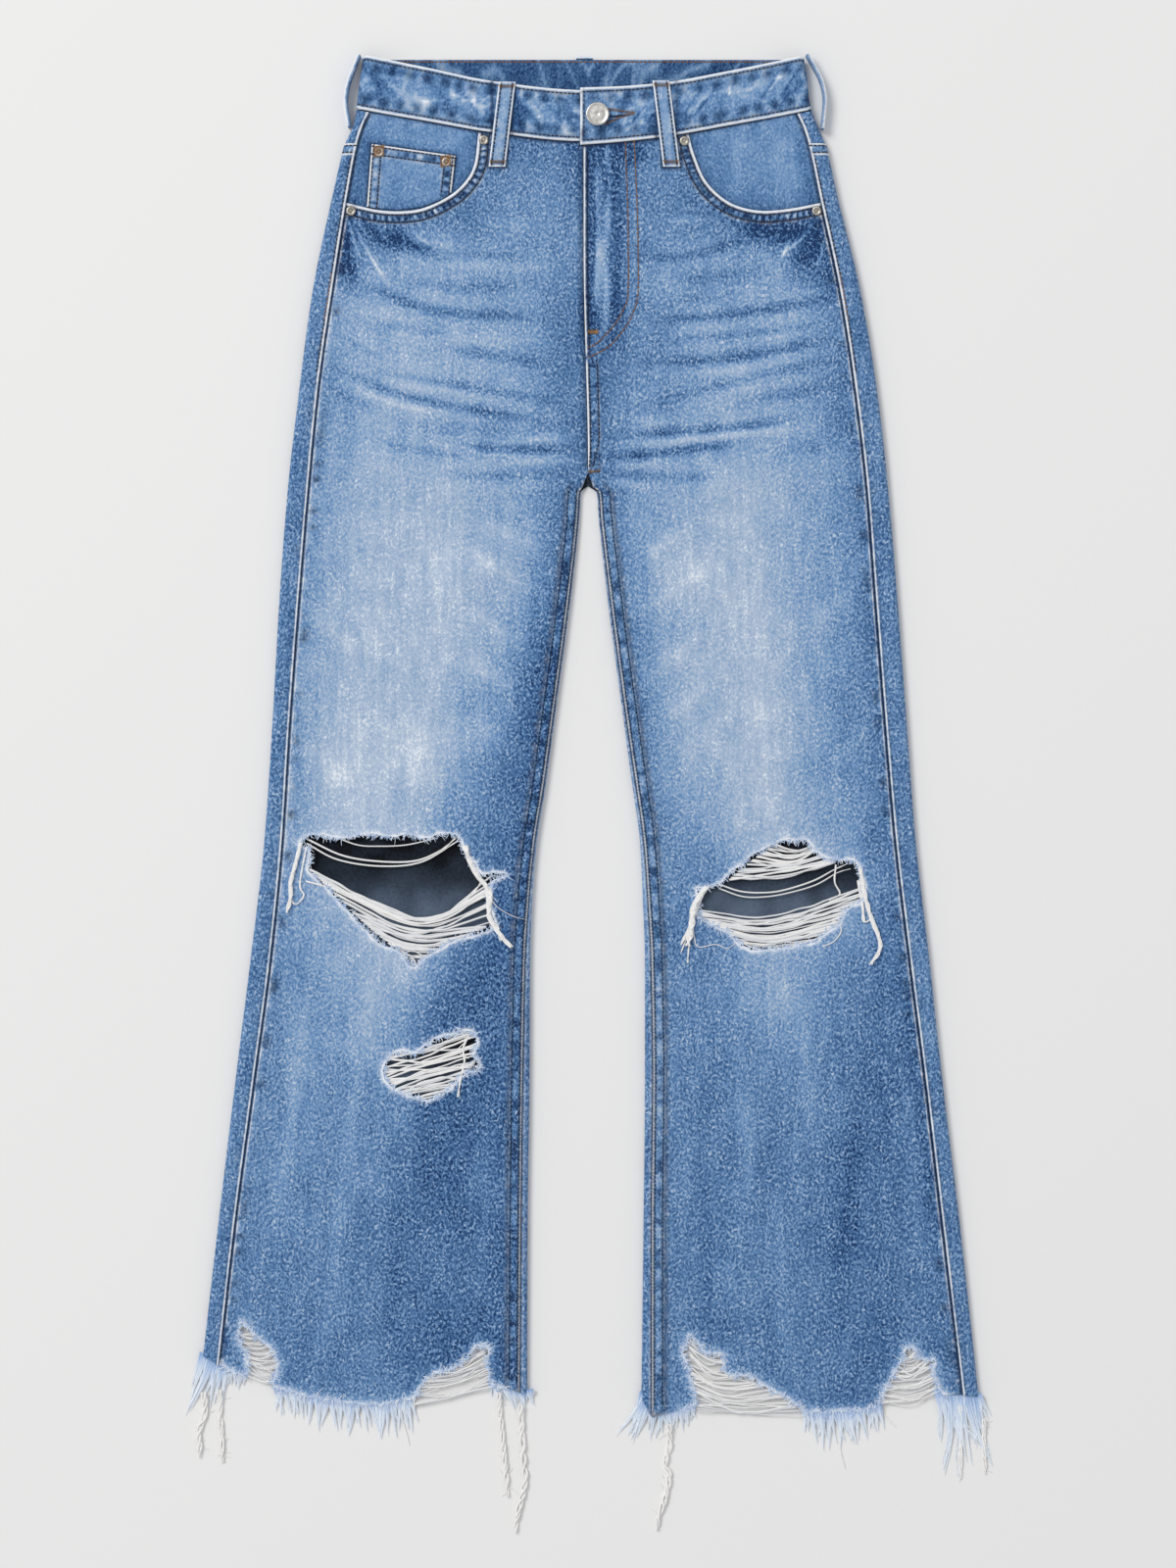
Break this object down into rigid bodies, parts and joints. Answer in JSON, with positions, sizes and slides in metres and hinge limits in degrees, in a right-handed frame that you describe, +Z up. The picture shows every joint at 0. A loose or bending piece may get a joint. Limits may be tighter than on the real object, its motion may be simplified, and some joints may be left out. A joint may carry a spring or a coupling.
{
  "type": "pair of ripped jeans",
  "caption": "Ripped straight-leg denim jeans laid flat, front up, with torn knees, a torn shin, frayed raw hems, curved pockets, belt loops and a buttoned waist.",
  "frame": {"origin": "centre of the bounding box at the level the garment rests on", "axes": "+Z up from the surface it lies on, +Y from the hems to the waist, +X to the wearer's left"},
  "size_m": [0.5965, 1.1165, 0.0154],
  "materials": {
    "washed_denim": "mid blue washed cotton denim, faded at the thighs and whiskered at the hips",
    "washed_denim_light": "lighter washed denim strips",
    "aged_nickel": "aged matt nickel",
    "frayed_cotton": "soft frayed pale blue and white cotton",
    "loose_thread": "loose off-white cotton yarn"
  },
  "bodies": {
    "root": {"front_right": "washed_denim", "front_left": "washed_denim", "back_right": "washed_denim", "back_left": "washed_denim", "yoke_right": "washed_denim", "yoke_left": "washed_denim", "waistband": "washed_denim", "fly_facing": "washed_denim", "pocket_facing_right": "washed_denim", "pocket_facing_left": "washed_denim", "coin_pocket": "washed_denim", "back_pocket_right": "washed_denim", "back_pocket_left": "washed_denim", "belt_loop_front_right": "washed_denim_light", "belt_loop_front_left": "washed_denim_light", "belt_loop_side_right": "washed_denim_light", "belt_loop_side_left": "washed_denim_light", "belt_loop_back": "washed_denim_light", "waist_button": "aged_nickel", "rivet_pocket_right_inner": "aged_nickel", "rivet_pocket_right_outer": "aged_nickel", "rivet_pocket_left_inner": "aged_nickel", "rivet_pocket_left_outer": "aged_nickel", "rivet_coin_outer": "aged_nickel", "rivet_coin_inner": "aged_nickel", "hem_fringe_front_right": "frayed_cotton", "hem_fringe_front_left": "frayed_cotton", "hem_fringe_back_right": "frayed_cotton", "hem_fringe_back_left": "frayed_cotton", "hem_tassel_right_1": "loose_thread", "hem_tassel_right_2": "loose_thread", "hem_tassel_right_3": "loose_thread", "hem_tassel_right_4": "loose_thread", "hem_tassel_left_1": "loose_thread", "hem_tassel_left_2": "loose_thread", "hem_tassel_left_3": "loose_thread"}
  },
  "joints": []
}
